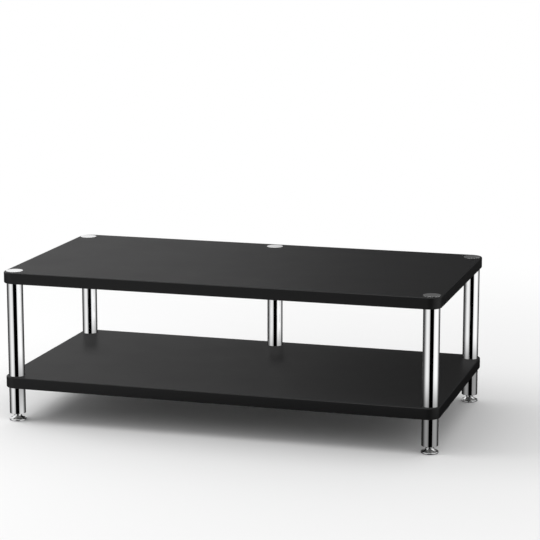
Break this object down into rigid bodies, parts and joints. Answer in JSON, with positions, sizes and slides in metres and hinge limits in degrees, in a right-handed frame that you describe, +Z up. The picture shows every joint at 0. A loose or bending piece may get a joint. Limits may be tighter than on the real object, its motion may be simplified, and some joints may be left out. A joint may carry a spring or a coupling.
{
  "type": "audio equipment rack",
  "caption": "Low, wide rack for audio equipment: two black boards with rounded corners, clamped on round chromed columns with turned levelling feet.",
  "frame": {"origin": "on the floor, under the middle of the boards", "axes": "+X along the width, to the right seen from the front; the front looks towards -Y; +Z up"},
  "size_m": [1.095, 0.56, 0.3786],
  "materials": {
    "black_board": "satin black laminate on fibreboard",
    "polished_chrome": "polished chrome plate",
    "plain_steel": "zinc-plated",
    "black_plastic": "matte moulded"
  },
  "bodies": {
    "rack": {"top_shelf": "black_board", "bottom_shelf": "black_board", "top_cap_front_left": "polished_chrome", "upper_tube_front_left": "polished_chrome", "upper_top_insert_front_left": "plain_steel", "upper_bottom_insert_front_left": "plain_steel", "joining_stud_front_left": "plain_steel", "lower_tube_front_left": "polished_chrome", "lower_top_insert_front_left": "plain_steel", "foot_insert_front_left": "plain_steel", "top_cap_front_right": "polished_chrome", "upper_tube_front_right": "polished_chrome", "upper_top_insert_front_right": "plain_steel", "upper_bottom_insert_front_right": "plain_steel", "joining_stud_front_right": "plain_steel", "lower_tube_front_right": "polished_chrome", "lower_top_insert_front_right": "plain_steel", "foot_insert_front_right": "plain_steel", "top_cap_back_left": "polished_chrome", "upper_tube_back_left": "polished_chrome", "upper_top_insert_back_left": "plain_steel", "upper_bottom_insert_back_left": "plain_steel", "joining_stud_back_left": "plain_steel", "lower_tube_back_left": "polished_chrome", "lower_top_insert_back_left": "plain_steel", "foot_insert_back_left": "plain_steel", "top_cap_back_middle": "polished_chrome", "upper_tube_back_middle": "polished_chrome", "upper_top_insert_back_middle": "plain_steel", "upper_bottom_insert_back_middle": "plain_steel", "joining_stud_back_middle": "plain_steel", "lower_tube_back_middle": "polished_chrome", "lower_top_insert_back_middle": "plain_steel", "foot_insert_back_middle": "plain_steel", "top_cap_back_right": "polished_chrome", "upper_tube_back_right": "polished_chrome", "upper_top_insert_back_right": "plain_steel", "upper_bottom_insert_back_right": "plain_steel", "joining_stud_back_right": "plain_steel", "lower_tube_back_right": "polished_chrome", "lower_top_insert_back_right": "plain_steel", "foot_insert_back_right": "plain_steel"},
    "glide_front_left": {"glide_pad_front_left": "black_plastic"},
    "screw_foot_front_left": {"foot_spindle_front_left": "plain_steel", "foot_base_front_left": "polished_chrome"},
    "glide_front_right": {"glide_pad_front_right": "black_plastic"},
    "screw_foot_front_right": {"foot_spindle_front_right": "plain_steel", "foot_base_front_right": "polished_chrome"},
    "glide_back_left": {"glide_pad_back_left": "black_plastic"},
    "screw_foot_back_left": {"foot_spindle_back_left": "plain_steel", "foot_base_back_left": "polished_chrome"},
    "glide_back_middle": {"glide_pad_back_middle": "black_plastic"},
    "screw_foot_back_middle": {"foot_spindle_back_middle": "plain_steel", "foot_base_back_middle": "polished_chrome"},
    "glide_back_right": {"glide_pad_back_right": "black_plastic"},
    "screw_foot_back_right": {"foot_spindle_back_right": "plain_steel", "foot_base_back_right": "polished_chrome"}
  },
  "joints": [
    {"name": "rise_front_left", "type": "slide", "parent": "rack", "child": "glide_front_left", "axis": [0, 0, -1], "range_m": [0, 0.012]},
    {"name": "turn_front_left", "type": "hinge", "parent": "glide_front_left", "child": "screw_foot_front_left", "pos_m": [-0.5225, -0.248, 0.01], "axis": [0, 0, -1], "range_deg": [0, 2880]},
    {"name": "rise_front_right", "type": "slide", "parent": "rack", "child": "glide_front_right", "axis": [0, 0, -1], "range_m": [0, 0.012]},
    {"name": "turn_front_right", "type": "hinge", "parent": "glide_front_right", "child": "screw_foot_front_right", "pos_m": [0.5225, -0.248, 0.01], "axis": [0, 0, -1], "range_deg": [0, 2880]},
    {"name": "rise_back_left", "type": "slide", "parent": "rack", "child": "glide_back_left", "axis": [0, 0, -1], "range_m": [0, 0.012]},
    {"name": "turn_back_left", "type": "hinge", "parent": "glide_back_left", "child": "screw_foot_back_left", "pos_m": [-0.5225, 0.248, 0.01], "axis": [0, 0, -1], "range_deg": [0, 2880]},
    {"name": "rise_back_middle", "type": "slide", "parent": "rack", "child": "glide_back_middle", "axis": [0, 0, -1], "range_m": [0, 0.012]},
    {"name": "turn_back_middle", "type": "hinge", "parent": "glide_back_middle", "child": "screw_foot_back_middle", "pos_m": [0, 0.248, 0.01], "axis": [0, 0, -1], "range_deg": [0, 2880]},
    {"name": "rise_back_right", "type": "slide", "parent": "rack", "child": "glide_back_right", "axis": [0, 0, -1], "range_m": [0, 0.012]},
    {"name": "turn_back_right", "type": "hinge", "parent": "glide_back_right", "child": "screw_foot_back_right", "pos_m": [0.5225, 0.248, 0.01], "axis": [0, 0, -1], "range_deg": [0, 2880]}
  ],
  "couplings": [
    {"joint": "turn_front_left", "follows": "rise_front_left", "rad_per_m": 4188.8},
    {"joint": "turn_front_right", "follows": "rise_front_right", "rad_per_m": 4188.8},
    {"joint": "turn_back_left", "follows": "rise_back_left", "rad_per_m": 4188.8},
    {"joint": "turn_back_middle", "follows": "rise_back_middle", "rad_per_m": 4188.8},
    {"joint": "turn_back_right", "follows": "rise_back_right", "rad_per_m": 4188.8}
  ]
}
